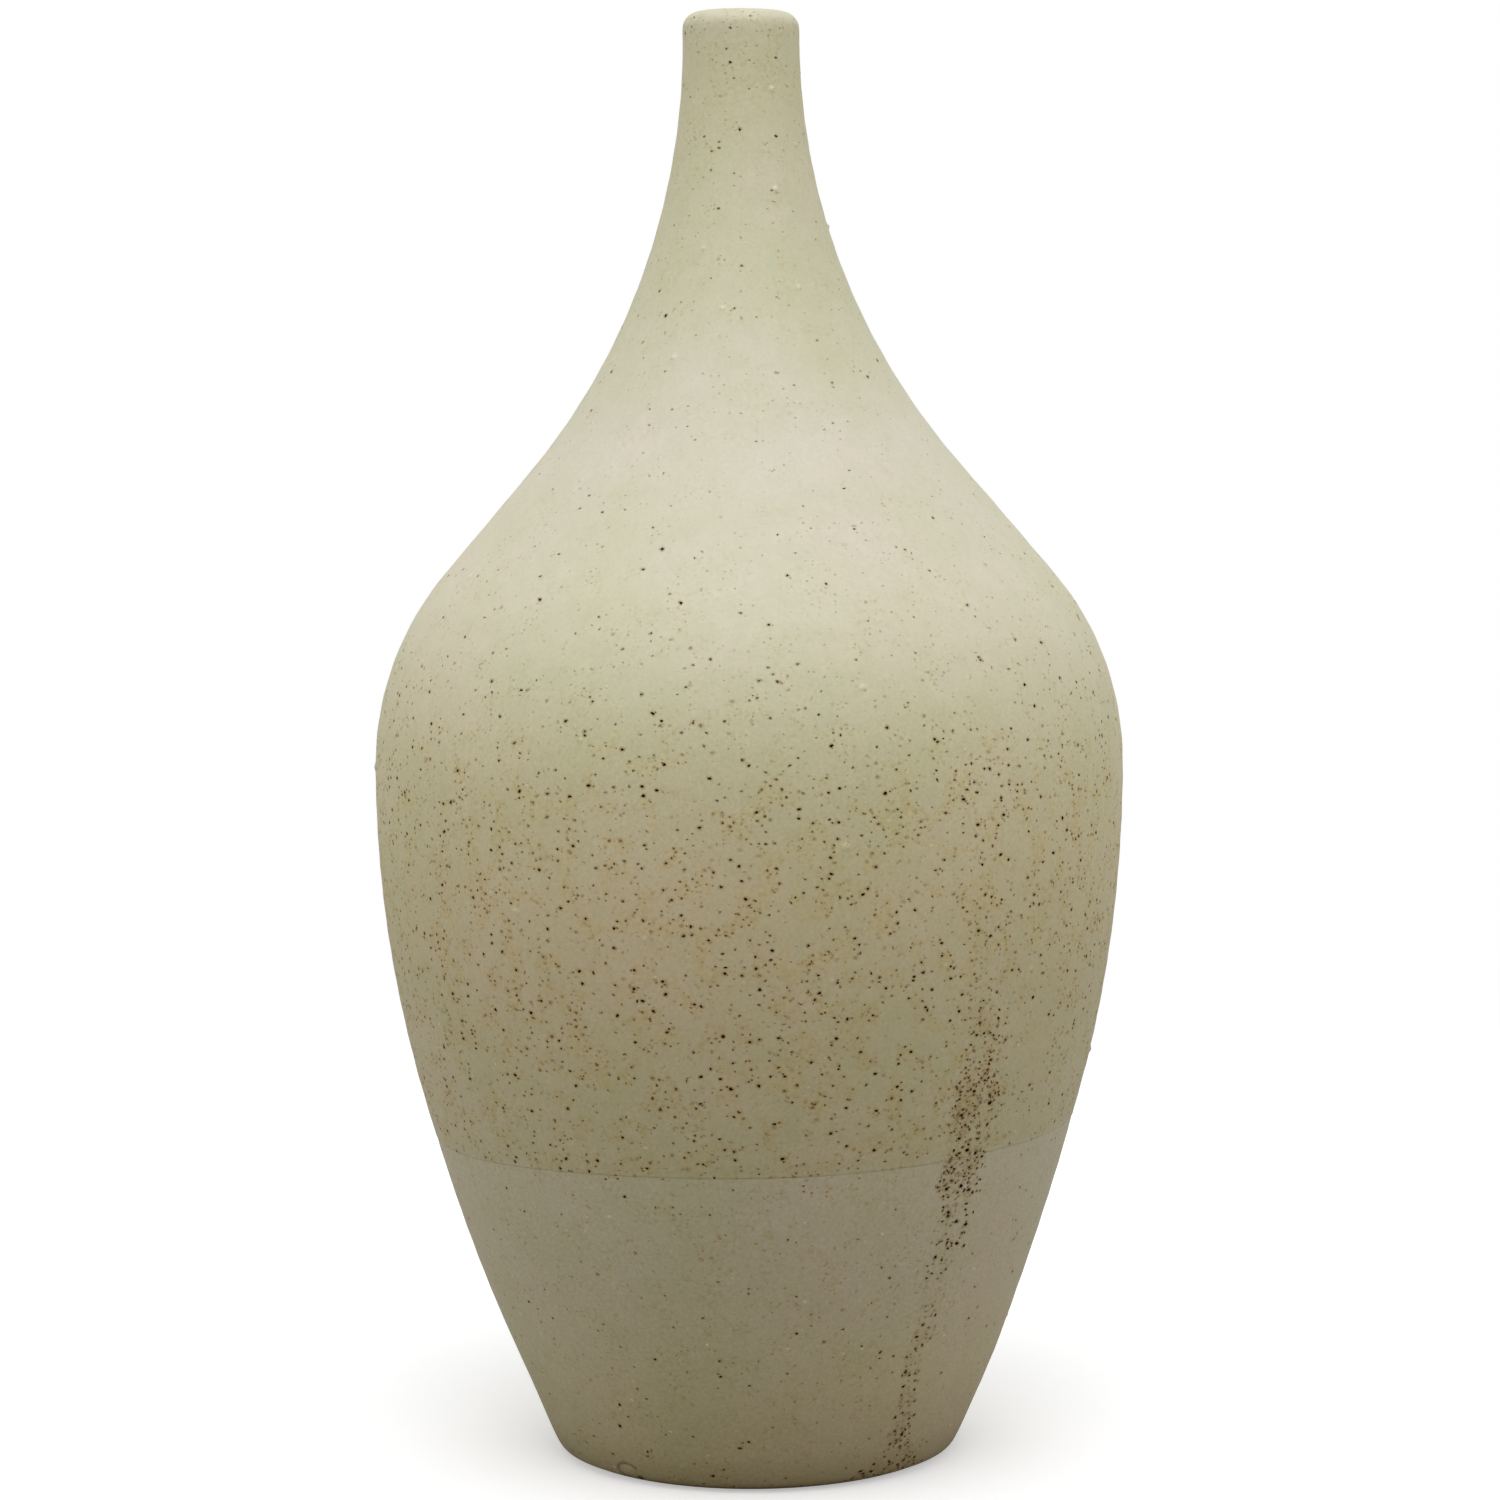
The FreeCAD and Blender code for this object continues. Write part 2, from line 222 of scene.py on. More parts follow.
# Kinds of grain. Crowd says which crowding it follows; filled is its share of places at full crowding.
# Strength and stain say how much its core and its rim colour the glaze, and the offset shifts its
# pattern, so that no two kinds lie on the same places.
GrainKind = namedtuple(
    "GrainKind", "crowd spacing_mm radii_mm filled strength stain rise_mm colour rim_colour offset"
)
IRON = GrainKind(
    "iron", 1.9, (0.21, 0.48), 0.76, 1.0, 0.45, -0.03,
    paint(37, 23, 4), paint(134, 95, 42), (0, 0, 0),
)
RUST = GrainKind(
    "rust", 1.55, (0.16, 0.36), 0.66, 0.9, 0.35, -0.02,
    paint(80, 54, 22), paint(152, 112, 60), (31, 7, 13),
)
DUST = GrainKind(
    "dust", 1.1, (0.12, 0.30), 0.46, 0.45, 0.15, 0.0,
    paint(114, 88, 46), paint(166, 136, 84), (5, 43, 19),
)
PIPS = GrainKind(
    "dust", 3.9, (0.2, 0.5), 0.45, 0.5, 0.1, 0.08,
    paint(228, 219, 190), paint(204, 192, 150), (71, 3, 57),
)
ASH = GrainKind(
    "ash", 1.0, (0.18, 0.47), 0.9, 1.0, 0.55, -0.02,
    paint(52, 35, 14), paint(130, 98, 52), (11, 91, 33),
)
CINDER = GrainKind(
    "cinder", 2.1, (0.32, 0.68), 0.9, 1.0, 0.4, -0.05,
    paint(20, 15, 8), paint(110, 80, 45), (59, 23, 5),
)
SMOKE = GrainKind(
    "smoke", 1.0, (0.15, 0.42), 0.9, 0.75, 0.3, 0.0,
    paint(84, 84, 68), paint(138, 138, 112), (17, 29, 83),
)
GRAIN_WANDER_MM = 0.6
GRAIN_SQUASH = (1, 1, 1.25)

# A grain's core starts at its radius. It is full, and its rim is full and ends, at these shares of it.
CORE_FULL_AT = 0.55
RIM_FULL_AT = 0.9
RIM_ENDS_AT = 1.9

# How grains gather along the edges of wide cells and in clusters, and how few stay in the bare zone.
CELL_MM = 10.0
CELL_NUDGE_MM = 8
CELL_EDGE = (0.2, 0.06)
CELL_CROWDING = (0.55, 1.5)
CLUSTER_EDGE = (0.36, 0.66)
CLUSTER_CROWDING = (0.35, 1.7)
BARE_CROWDING = 0.35

# The streak of dense grains down the right of the front, and the bare zone beside it. Widths are shares
# of STREAK_HALF_MM, and widths and strengths go by share of the vase's height. From STEADY_BELOW down
# the streak wanders less and ends FOOT_SHIFT_MM further right. Cinders thin out between CINDER_FROM and
# CINDER_TO, and smoke takes over from ash between SMOKE_FROM and SMOKE_TO.
STREAK_ANGLE = math.radians(39.5)
STREAK_HALF_MM = 9.0
STREAK_WANDER_MM = 4.0
FOOT_SHIFT_MM = 3.3
STEADY_BELOW = 0.08
STREAK_CORE = 0.4
STREAK_WIDTHS = (
    (0.0, 1.9), (0.015, 0.9), (0.03, 0.45), (0.12, 0.45), (0.2, 0.7), (0.28, 1.0), (0.42, 0.7),
)
STREAK_STRENGTH = (
    (0.0, 0.9), (0.04, 0.6), (0.1, 0.5), (0.15, 0.25), (0.19, 0.4), (0.22, 1.0), (0.30, 0.8),
    (0.34, 0.5), (0.43, 0.0),
)
STREAK_PATCHINESS = (0.4, 1.3)
CINDER_FROM = 0.23
CINDER_TO = 0.30
SMOKE_FROM = 0.305
SMOKE_TO = 0.345
BARE_MIDDLE_MM = 15.0
BARE_CORE = 0.3
BARE_FADE_OUT = (0.40, 0.33)

# The clay and the liner are mostly out of sight: one kind of grain each, and plainer tones.
CLAY_DARK = paint(150, 122, 92)
CLAY_LIGHT = paint(178, 150, 118)
CLAY_GRIT_TINTS = ((0.75, 0.72, 0.68), (1.2, 1.22, 1.25))
CLAY_GRIT_MM = 0.12
CLAY_RING_MM = 0.06
CLAY_IRON = 0.6
CLAY_RIM_STAIN = 0.4
CLAY_ROUGHNESS = (0.8, 0.95)
LINER_TONES = ((0.0, paint(176, 164, 128)), (0.2, paint(198, 190, 158)), (1.0, paint(206, 199, 168)))
LINER_CLOUD_TINTS = ((0.94, 0.94, 0.92), (1.05, 1.05, 1.06))
LINER_RUST = 0.3
LINER_RIM_STAIN = 0.3
LINER_CORE_STAIN = 0.6
LINER_RIPPLE_MM = 0.03
LINER_ROUGHNESS = (0.26, 0.38)

# The camera, at the photo's viewing angle. The frame's edges fall on the lip and the foot, each so far
# in front of the axis, and the vase fills this share of the frame.
SENSOR_WIDTH_MM = 36
CAMERA_DISTANCE = 850 * MM
CAMERA_HEIGHT = 225 * MM
LIP_FRONT = 9 * MM
FOOT_FRONT = 40 * MM
FRAME_FILL = 0.989

# Soft light. Each lamp: name, degrees right of the front, degrees above level, distance in vase heights,
# size in metres, power in watts, colour. The surround lights the vase far less than the camera sees.
SURROUND_LEVEL = 0.08
WHITE = (1.0, 1.0, 1.0)
WARM = (1.0, 0.975, 0.90)
COOL = (0.995, 1.01, 1.06)
LAMPS = (
    ("overhead", 0, 75, 3.5, 1.0, 8.2, COOL),
    ("front", 0, 35, 3.5, 1.0, 2.6, COOL),
    ("left", -67, 2, 3.0, 1.1, 3.0, WARM),
    ("right", 67, 2, 3.0, 1.1, 3.0, WARM),
    ("back_left", -135, 10, 3.0, 1.0, 2.0, WHITE),
    ("back_right", 135, 10, 3.0, 1.0, 2.0, WHITE),
    ("back", 180, 40, 3.5, 1.0, 2.0, WHITE),
)
FLOOR_SEEN = (0.82, 0.82, 0.82, 1)
FLOOR_GLOW = 0.42
FLOOR_BOUNCE_FRONT = (0.48, 0.47, 0.44, 1)
FLOOR_BOUNCE_BACK = (0.68, 0.69, 0.72, 1)
FLOOR_BOUNCE_CHANGE_MM = 60
FLOOR_GRAIN_TINTS = ((0.99, 0.99, 0.99), (1.01, 1.01, 1.01))
FLOOR_GRAIN_MM = 0.02
FLOOR_CLEAR_FROM = 0.3
FLOOR_CLEAR_TO = 0.8
FLOOR_SEGMENTS = 96


# ---------------------------------------------------------------- outlines from the CAD frame

def half_section(node_name):
    """A turned CAD node's outline in its +X half plane, as (radius, height) points in order.

    It runs from the underside out and up the outside, over the lip and down the inside.
    """
    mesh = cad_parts[node_name].data
    on_plane = 1e-6
    points = {}
    for vertex in mesh.vertices:
        if abs(vertex.co.y) < on_plane and vertex.co.x > -on_plane:
            points[vertex.index] = (round(vertex.co.x, 6), round(vertex.co.z, 6))
    neighbours = {}
    for edge in mesh.edges:
        start, end = (points.get(index) for index in edge.vertices)
        if start and end and start != end:
            neighbours.setdefault(start, set()).add(end)
            neighbours.setdefault(end, set()).add(start)
    ends = [point for point, near in neighbours.items() if len(near) == 1]
    outline = [min(ends or neighbours, key=lambda point: (point[1], point[0]))]
    following = max(neighbours[outline[0]])
    while following is not None:
        outline.append(following)
        ahead = [point for point in neighbours[following] if point not in outline[-2:]]
        following = ahead[0] if ahead and ahead[0] != outline[0] else None
    return np.array(outline)


def distances(points):
    """The distance along a line of points, at each point."""
    return np.concatenate([[0.0], np.cumsum(np.linalg.norm(np.diff(points, axis=0), axis=1))])


def smooth_read(knots, values, places):
    """Reads values, known at the knots, at other places on a smooth curve (cubic Hermite)."""
    slopes = np.gradient(values, knots, axis=0)
    left = np.clip(np.searchsorted(knots, places, side="right") - 1, 0, len(knots) - 2)
    span = knots[left + 1] - knots[left]
    t = (places - knots[left]) / span
    if values.ndim > 1:
        t = t[:, None]
        span = span[:, None]
    held = (1 + 2 * t) * (1 - t) ** 2 * values[left] + t * t * (3 - 2 * t) * values[left + 1]
    steered = t * (1 - t) ** 2 * slopes[left] - t * t * (1 - t) * slopes[left + 1]
    return held + span * steered


def graded_places(knots, row_step):
    """Row places along one smooth run: close at its ends and on tight curves, else row_step apart."""
    length = knots[-1]
    spans = np.diff(knots)
    places = [0.0]
    while places[-1] < length:
        here = places[-1]
        span = spans[min(np.searchsorted(knots, here, side="right"), len(spans)) - 1]
        on_curve = max(span / CUTS_PER_CAD_SPAN, CORNER_STEP)
        near_corner = CORNER_STEP + STEP_GROWTH * max(0.0, min(here, length - here))
        places.append(here + min(row_step, on_curve, near_corner))
    return np.array(places) * length / places[-1]


def smooth_runs(outline, closed):
    """Splits an outline at its corners."""
    points = np.vstack([outline, outline[:1]]) if closed else outline
    steps = np.diff(points, axis=0)
    heading = np.unwrap(np.arctan2(steps[:, 1], steps[:, 0]))
    corners = [0]
    corners.extend(np.flatnonzero(np.abs(np.diff(heading)) > CORNER_TURN) + 1)
    corners.append(len(points) - 1)
    return [points[start:end + 1] for start, end in zip(corners, corners[1:])]


def fine_outline(outline, closed, row_step):
    """An outline with many rows, its corners worn round as a fired edge is."""
    rows = []
    for run in smooth_runs(outline, closed):
        knots = distances(run)
        rows.extend(smooth_read(knots, run, graded_places(knots, row_step))[:-1])
    if not closed:
        rows.append(outline[-1])
    rows = np.array(rows)
    for _ in range(SOFTENING_PASSES):
        if closed:
            rows = (np.roll(rows, 1, axis=0) + 2 * rows + np.roll(rows, -1, axis=0)) / 4
        else:
            rows[1:-1] = (rows[:-2] + 2 * rows[1:-1] + rows[2:]) / 4
    return rows


# ---------------------------------------------------------------- hand-thrown shape

def fade(value, low, high):
    """0 below low, 1 above high, and smooth between."""
    t = np.clip((value - low) / (high - low), 0, 1)
    return t * t * (3 - 2 * t)


def waves(seed, angle, height, count, pitch):
    """A gentle pattern of sine waves over the wall, mostly between -1 and 1."""
    random = np.random.default_rng(seed)
    total = np.zeros(np.broadcast(angle, height).shape)
    for _ in range(count):
        around = random.integers(*WAVES_ROUND)
        up = random.uniform(-1, 1) * math.tau / pitch
        total += np.sin(around * angle + up * height + random.uniform(0, math.tau))
    return total / math.sqrt(count)


def as_thrown(points):
    """Moves points of the true turned shape to where a hand-thrown pot has them."""
    x, y, z = points.T
    angle = np.arctan2(y, x)
    radius = np.hypot(x, y)
    off_axis = radius > MM
    free_wall = fade(z, *MARKS_ABOVE_FOOT) * fade(HEIGHT - z, *MARKS_BELOW_LIP)
    wander = waves(seed=1, angle=angle, height=z, count=3, pitch=RING_WANDER_PITCH)
    rings = RING_DEPTH * np.sin(math.tau * z / RING_PITCH - angle + wander)
    dents = DENT_DEPTH * waves(seed=2, angle=angle, height=z, count=7, pitch=DENT_PITCH)
    line_height, _ = glaze_line()
    below_line = 1 - fade(z, line_height - SWELL_BELOW_LINE, line_height + SWELL_ABOVE_LINE)
    swell = LOWER_SWELL * below_line
    near_foot = 1 - fade(z, *FOOT_OVAL_HEIGHTS)
    foot_oval = FOOT_OVAL * np.cos(2 * (angle - FOOT_LONG_WAY)) * near_foot
    on_wall = fade(radius, *FOOT_OVAL_RADII)
    radius = radius + free_wall * (rings + dents + swell) * off_axis + on_wall * foot_oval
    shares, shifts = np.array(AXIS_DRIFT).T
    drift = smooth_read(shares * HEIGHT, shifts, np.clip(z, 0, HEIGHT))
    return np.column_stack([
        radius * np.cos(angle) * (1 + OVAL) + drift,
        radius * np.sin(angle) * (1 - OVAL) + DEPTH_DRIFT_SHARE * drift,
        z,
    ])


# ---------------------------------------------------------------- turned meshes

def segment_angles(segments):
    """The angle of each segment round the vase."""
    return np.arange(segments) * math.tau / segments


def ring_faces(rings, segments, closed):
    """Faces between rings of points, listed ring by ring. Closed joins the last ring to the first."""
    faces = []
    for ring in range(rings if closed else rings - 1):
        here = ring * segments
        above = (ring + 1) % rings * segments
        for segment in range(segments):
            beside = (segment + 1) % segments
            faces.append((here + segment, here + beside, above + beside, above + segment))
    return faces


def make_object(name, points, faces):
    """A smooth-shaded mesh object, placed in the scene."""
    mesh = bpy.data.meshes.new(name)
    mesh.from_pydata(points.tolist(), [], faces)
    mesh.shade_smooth()
    piece = bpy.data.objects.new(name, mesh)
    bpy.context.scene.collection.objects.link(piece)
    return piece


def turned_piece(name, outline, closed, segments, row_step):
    """A mesh object turned from an outline. An open outline is closed on the axis at both ends."""
    if not closed:
        centres = [[POLE_RADIUS, outline[0, 1]], [POLE_RADIUS, outline[-1, 1]]]
        outline = np.vstack([centres[:1], outline, centres[1:]])
    rows = fine_outline(outline, closed, row_step)
    angle = segment_angles(segments)
    radius, height = rows[:, :1], rows[:, 1:]
    flat = radius * np.cos(angle), radius * np.sin(angle), height + 0 * angle
    points = np.stack(flat, axis=-1).reshape(-1, 3)
    faces = ring_faces(len(rows), segments, closed)
    if not closed:
        faces.append(tuple(reversed(range(segments))))
        faces.append(tuple(range(len(points) - segments, len(points))))
    return make_object(name, as_thrown(points), faces)


# ---------------------------------------------------------------- the upper coat

def outer_skin():
    """The base coat's outside, from the foot to the inner edge of the lip."""
    return max(smooth_runs(half_section("base_glaze"), True)[:2], key=len)


def glaze_line():
    """The tilted plane the upper coat ends at: its height on the axis and its rise along x."""
    right_x, right_z = half_section("upper_glaze")[0]
    places = [vertex.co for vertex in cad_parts["upper_glaze"].data.vertices]
    left = min(places, key=lambda place: place.z)
    rise = (right_z - left.z) / (right_x - left.x)
    return right_z - rise * right_x + LINE_LIFT, rise


def upper_coat_piece():
    """The upper coat: a skin over the base coat that ends in a slightly wavy rolled edge."""
    skin = outer_skin()
    knots = distances(skin)
    coat = half_section("upper_glaze")[:, 0].max() - skin[:, 0].max()
    line_height, line_rise = glaze_line()

    dense = np.linspace(0, knots[-1], SKIN_SAMPLES)
    radius, height = smooth_read(knots, skin, dense).T
    out, up = np.gradient(height, dense), -np.gradient(radius, dense)

    angle = segment_angles(SEGMENTS)
    line_wave = LINE_WAVE * waves(seed=3, angle=angle, height=0, count=6, pitch=1)
    starts = np.array([
        np.interp(0, height - line_height - line_rise * radius * math.cos(theta) - lift, dense)
        for theta, lift in zip(angle, line_wave)
    ])
    clear = knots > starts.max()
    rows = graded_places(np.concatenate([[0.0], knots[clear] - starts.max()]), ROW_STEP)
    place = starts + (rows / rows[-1])[:, None] * (knots[-1] - starts)
    climbed = place - starts
    front = np.sqrt(1 - (1 - np.clip(climbed / FRONT_LENGTH, 0, 1)) ** 2)
    thickness = coat * front * (FRONT_SHARE + (1 - FRONT_SHARE) * fade(climbed, 0, FEATHER_LENGTH))

    def layer(lift):
        """Rings of points, each lifted off the base coat."""
        ring_radius = np.interp(place, dense, radius) + lift * np.interp(place, dense, out)
        ring_height = np.interp(place, dense, height) + lift * np.interp(place, dense, up)
        flat = ring_radius * np.cos(angle), ring_radius * np.sin(angle), ring_height
        return np.stack(flat, axis=-1)

    outside = layer(thickness)
    under = np.arange(len(rows) - 1, 0, -UNDERSIDE_ROW_STEP)
    underside = layer(-SINK * front)[under]
    points = np.concatenate([outside, underside])
    faces = ring_faces(len(points), SEGMENTS, True)
    piece = make_object("upper_coat", as_thrown(points.reshape(-1, 3)), faces)
    climbed_mm = np.concatenate([climbed, climbed[under]]) / MM
    keep_values(piece, "climbed_mm", climbed_mm.ravel())
    return piece


def keep_values(piece, name, values):
    """Keeps one number per vertex with the mesh, for its material to read."""
    attribute = piece.data.attributes.new(name, "FLOAT", "POINT")
    attribute.data.foreach_set("value", values.astype(np.float32))


# ---------------------------------------------------------------- lumps, the blister and the pinhole

def lump(radius, height):
    """A round grain of grit under the glaze: how far the surface rises at an offset from its middle."""
    def rise(across, up):
        return height * np.exp(-(across ** 2 + up ** 2) / (LUMP_SPREAD * radius) ** 2)
    return rise


def blister(radius, height):
    """A flat blister, wider than tall, with a sunken groove round it."""
    def rise(across, up):
        out = np.hypot(across, BLISTER_SQUASH * up) / radius
        crown = np.exp(-(out / BLISTER_CROWN) ** 4)
        groove = np.exp(-((out - 1) / BLISTER_GROOVE) ** 2)
        return height * (crown - groove)
    return rise


def feature_finder(features):
    """A function that gives the feature nearest to a point, and how far away it is."""
    tree = KDTree(len(features))
    for index, feature in enumerate(features):
        tree.insert(feature.place, index)
    tree.balance()

    def find(point):
        _, index, distance = tree.find(point)
        return features[index], distance
    return find


def raise_relief(piece, features):
    """Cuts a piece's mesh finer under each feature, then lifts it along its normals."""
    find = feature_finder(features)
    work = bmesh.new()
    work.from_mesh(piece.data)
    for widening in RELIEF_CUTS:
        edges = set()
        for face in work.faces:
            feature, distance = find(face.calc_center_median())
            if distance < feature.reach * widening:
                edges.update(face.edges)
        bmesh.ops.subdivide_edges(work, edges=list(edges), cuts=1, use_grid_fill=True)
    work.normal_update()
    lifts = {}
    for vertex in work.verts:
        feature, distance = find(vertex.co)
        if distance < feature.reach * RELIEF_CUTS[0]:
            across = Vector((0, 0, 1)).cross(vertex.normal).normalized()
            up = vertex.normal.cross(across)
            offset = vertex.co - feature.place
            lifts[vertex.index] = feature.rise(offset.dot(across), offset.dot(up))
    raised = np.zeros(len(work.verts))
    work.verts.ensure_lookup_table()
    for index, lift in lifts.items():
        raised[index] = lift
        vertex = work.verts[index]
        vertex.co += vertex.normal * lift
    work.to_mesh(piece.data)
    work.free()
    piece.data.shade_smooth()
    keep_values(piece, "raised_mm", raised / MM)


def scattered_lumps(piece, count, seed):
    """Grit at random places on a piece's outside."""
    random = np.random.default_rng(seed)
    polygons = [p for p in piece.data.polygons if p.normal.dot(p.center) > 0]
    areas = np.array([polygon.area for polygon in polygons])
    chosen = random.choice(len(polygons), count, replace=False, p=areas / areas.sum())
    features = []
    for index in chosen:
        radius = random.uniform(*LUMP_RADII)
        height = radius * random.uniform(*LUMP_STEEPNESS)
        place = polygons[index].center.copy()
        features.append(Feature(place, LUMP_REACH * radius, lump(radius, height)))
    return features


def on_outside(piece, front_angle, height):
    """The point of a piece's outside at an angle from the front (positive to the right) and a height."""
    far = 2 * BELLY_RADIUS
    start = Vector((far * math.sin(front_angle), -far * math.cos(front_angle), height))
    inward = Vector((-start.x, -start.y, 0)).normalized()
    _, place, _, _ = piece.ray_cast(start, inward)
    return place


# ---------------------------------------------------------------- node materials

class Surface:
    """A node material being built. Each method adds nodes and returns the output to use next."""

    def __init__(self, name):
        self.material = bpy.data.materials.new(name)
        self.material.use_nodes = True
        self.tree = self.material.node_tree
        self.principled = self.tree.nodes["Principled BSDF"]
        place = self.node("ShaderNodeTexCoord").outputs["Object"]
        self.place_mm = self.vector("SCALE", place, Scale=1 / MM)
        self.x_mm, self.y_mm, self.z_mm = self.split(self.place_mm)
        self.share = self.math("DIVIDE", self.z_mm, HEIGHT / MM)

    def node(self, kind, inputs=None, **settings):
        """Adds a node, with its inputs by name or number and its own settings."""
        made = self.tree.nodes.new(kind)
        for key, value in settings.items():
            setattr(made, key, value)
        for key, value in (inputs or {}).items():
            self.feed(made.inputs[key], value)
        return made

    def feed(self, socket, value):
        """Gives a socket another node's output, or a plain value."""
        if isinstance(value, bpy.types.NodeSocket):
            self.tree.links.new(value, socket)
        else:
            socket.default_value = value

    def math(self, operation, first, second=0.0, third=0.0):
        inputs = {0: first, 1: second, 2: third}
        return self.node("ShaderNodeMath", inputs, operation=operation).outputs[0]

    def vector(self, operation, first, second=(0, 0, 0), **inputs):
        inputs = {0: first, 1: second, **inputs}
        made = self.node("ShaderNodeVectorMath", inputs, operation=operation)
        return made.outputs["Value" if operation == "LENGTH" else "Vector"]

    def split(self, vector):
        return tuple(self.node("ShaderNodeSeparateXYZ", {0: vector}).outputs)

    def fade(self, value, start, end):
        """0 at start, 1 at end and beyond, smooth between; end may be the lower one."""
        inputs = {"Value": value, "From Min": start, "From Max": end}
        made = self.node("ShaderNodeMapRange", inputs, interpolation_type="SMOOTHSTEP")
        return made.outputs["Result"]

    def between(self, value, low, high):
        """Spreads a 0 to 1 value over low to high."""
        return self.math("MULTIPLY_ADD", value, high - low, low)

    def ramp(self, value, stops):
        """Reads a colour, or a plain number, off a list of (place, colour or number) stops."""
        made = self.node("ShaderNodeValToRGB", {0: value})
        elements = made.color_ramp.elements
        while len(elements) < len(stops):
            elements.new(0.5)
        for element, (place, colour) in zip(elements, sorted(stops, key=lambda stop: stop[0])):
            element.position = place
            element.color = colour if isinstance(colour, tuple) else (colour, colour, colour, 1)
        return made.outputs["Color"]

    def noise(self, size_mm, detail=2.0, roughness=0.5, output="Fac"):
        """Soft noise from 0 to 1, in spots about this wide."""
        inputs = {
            "Vector": self.place_mm,
            "Scale": 1 / size_mm,
            "Detail": detail,
            "Roughness": roughness,
        }
        return self.node("ShaderNodeTexNoise", inputs).outputs[output]

    def blotches(self, size_mm):
        """Soft-edged blotches: 0 between them and 1 inside."""
        return self.fade(self.noise(size_mm), *BLOTCH_EDGE)

    def blend(self, share, first, second, kind="MIX"):
        """Mixes two colours: only the first at share 0, only the second at share 1."""
        inputs = {0: share, 6: first, 7: second}
        made = self.node("ShaderNodeMix", inputs, data_type="RGBA", blend_type=kind)
        return made.outputs[2]

    def tint(self, colour, share, low, high):
        """Multiplies a colour by a tint between low and high."""
        tone = self.blend(share, (*low, 1), (*high, 1))
        return self.blend(1.0, colour, tone, "MULTIPLY")

    def finish(self, colour, roughness, relief_mm, shine):
        """Joins everything to the material's shader and gives the finished material."""
        bump = self.node("ShaderNodeBump", {"Height": relief_mm, "Distance": MM, "Strength": 1.0})
        inputs = self.principled.inputs
        self.feed(inputs["Base Color"], colour)
        self.feed(inputs["Roughness"], roughness)
        self.feed(inputs["Specular IOR Level"], shine)
        self.feed(inputs["Normal"], bump.outputs["Normal"])
        return self.material


# ---------------------------------------------------------------- iron grains and the ash streak

def grains(surface, kind, crowding):
    """Scatters one kind of grain: how far each point is inside a grain, and in its stained rim."""
    nudge = surface.vector("SCALE", surface.noise(0.7, 1, output="Color"), Scale=GRAIN_WANDER_MM)
    place = surface.vector("ADD", surface.vector("ADD", surface.place_mm, nudge), kind.offset)
    place = surface.vector("MULTIPLY", place, GRAIN_SQUASH)
    cell = surface.node("ShaderNodeTexVoronoi", {"Vector": place, "Scale": 1 / kind.spacing_mm})
    chance, size, _ = surface.split(cell.outputs["Color"])
    there = surface.math("LESS_THAN", chance, surface.math("MULTIPLY", crowding, kind.filled))
    radius = surface.math("MULTIPLY", there, surface.between(size, *kind.radii_mm))
    distance = surface.math("MULTIPLY", cell.outputs["Distance"], kind.spacing_mm)
    core = surface.fade(distance, radius, surface.math("MULTIPLY", radius, CORE_FULL_AT))
    rim = surface.fade(
        distance,
        surface.math("MULTIPLY", radius, RIM_ENDS_AT),
        surface.math("MULTIPLY", radius, RIM_FULL_AT),
    )
    return core, rim


def ash_streak(surface):
    """How deep each point lies in the dense streak of grains, and in the bare zone beside it."""
    front_angle = surface.math("ARCTAN2", surface.x_mm, surface.math("MULTIPLY", surface.y_mm, -1))
    radius = surface.vector("LENGTH", surface.vector("MULTIPLY", surface.place_mm, (1, 1, 0)))
    wander = surface.between(surface.noise(22, 3, 0.6), -STREAK_WANDER_MM, STREAK_WANDER_MM)
    free = surface.fade(surface.share, 0.0, STEADY_BELOW)
    wander = surface.math("MULTIPLY", free, surface.math("ADD", wander, FOOT_SHIFT_MM))
    wander = surface.math("SUBTRACT", wander, FOOT_SHIFT_MM)
    turn = surface.math("SUBTRACT", front_angle, STREAK_ANGLE)
    across = surface.math("ADD", surface.math("MULTIPLY", turn, radius), wander)
    half_width = surface.math("MULTIPLY", surface.ramp(surface.share, STREAK_WIDTHS), STREAK_HALF_MM)
    inside = surface.fade(
        surface.math("ABSOLUTE", across),
        half_width,
        surface.math("MULTIPLY", half_width, STREAK_CORE),
    )
    patchy = surface.between(surface.blotches(6), *STREAK_PATCHINESS)
    strength = surface.math("MULTIPLY", patchy, surface.ramp(surface.share, STREAK_STRENGTH))
    streak = surface.math("MULTIPLY", inside, strength)
    beside = surface.math("ABSOLUTE", surface.math("SUBTRACT", across, BARE_MIDDLE_MM))
    bare = surface.math(
        "MULTIPLY",
        surface.fade(beside, STREAK_HALF_MM, BARE_CORE * STREAK_HALF_MM),
        surface.fade(surface.share, *BARE_FADE_OUT),
    )
    return streak, bare


def crowding(surface, bare):
    """How grains gather: thick along the edges of wide cells and in clusters, thin where it is bare."""
    nudge = surface.vector("SCALE", surface.noise(7, output="Color"), Scale=CELL_NUDGE_MM)
    place = surface.vector("ADD", surface.place_mm, nudge)
    cell = surface.node(
        "ShaderNodeTexVoronoi",
        {"Vector": place, "Scale": 1 / CELL_MM},
        feature="DISTANCE_TO_EDGE",
    )
    at_edge = surface.fade(cell.outputs["Distance"], *CELL_EDGE)
    in_cluster = surface.fade(surface.noise(5, 2, 0.6), *CLUSTER_EDGE)
    edges = surface.between(at_edge, *CELL_CROWDING)
    clusters = surface.between(in_cluster, *CLUSTER_CROWDING)
    gathered = surface.math("MULTIPLY", edges, clusters)
    return surface.math("MULTIPLY", gathered, surface.between(bare, 1.0, BARE_CROWDING))


